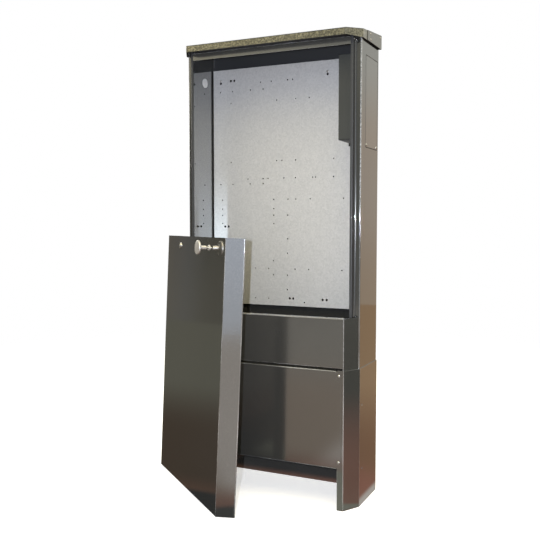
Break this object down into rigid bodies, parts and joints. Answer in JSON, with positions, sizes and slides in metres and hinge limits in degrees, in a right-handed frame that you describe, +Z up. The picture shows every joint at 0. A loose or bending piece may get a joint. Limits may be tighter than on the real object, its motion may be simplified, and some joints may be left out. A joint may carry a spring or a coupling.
{
  "type": "meter cabinet",
  "caption": "Free-standing outdoor meter cabinet of folded sheet steel with splayed front corners, sloping roof, perforated mounting plate and a lift-off door leaning against it.",
  "frame": {"origin": "middle of the four floor bolts, on the ground", "axes": "+Z up, front towards -Y, +X to the viewer's right"},
  "size_m": [0.861, 0.4803, 1.6097],
  "materials": {
    "enamel": "glossy dark olive-grey enamel",
    "zinc": "galvanised, dull spangle",
    "steel": "zinc-plated",
    "plug_plastic": "white"
  },
  "bodies": {
    "cabinet": {"base_shell": "enamel", "lower_panel": "enamel", "upper_shell": "enamel", "apron": "enamel", "header": "enamel", "niche_box": "enamel", "side_hatch": "enamel", "roof": "enamel", "roof_front": "enamel", "door_shell": "enamel", "mounting_plate": "zinc", "plate_rail_top": "zinc", "plate_rail_bottom": "zinc", "lower_panel_screws": "steel", "header_screws": "steel", "plate_bolts": "steel", "hatch_screws": "steel", "roof_rivets": "steel", "knob_bush": "steel", "knob_bush_nut": "steel", "lock_barrel": "steel", "lock_nut": "steel", "blanking_plug": "plug_plastic"},
    "knob": {"knob": "steel", "knob_spindle": "steel", "knob_cam": "steel", "knob_cam_nut": "steel"},
    "lock": {"lock_plug": "steel", "lock_cam": "steel", "lock_cam_screw": "steel"}
  },
  "joints": [
    {"name": "knob_turn", "type": "hinge", "parent": "cabinet", "child": "knob", "pos_m": [-0.15093, -0.22955, 0.87573], "axis": [0.63, 0.7752, -0.0454], "range_deg": [0, 90]},
    {"name": "lock_turn", "type": "hinge", "parent": "cabinet", "child": "lock", "pos_m": [-0.38375, -0.04034, 0.87573], "axis": [0.63, 0.7752, -0.0454], "range_deg": [0, 90]}
  ]
}
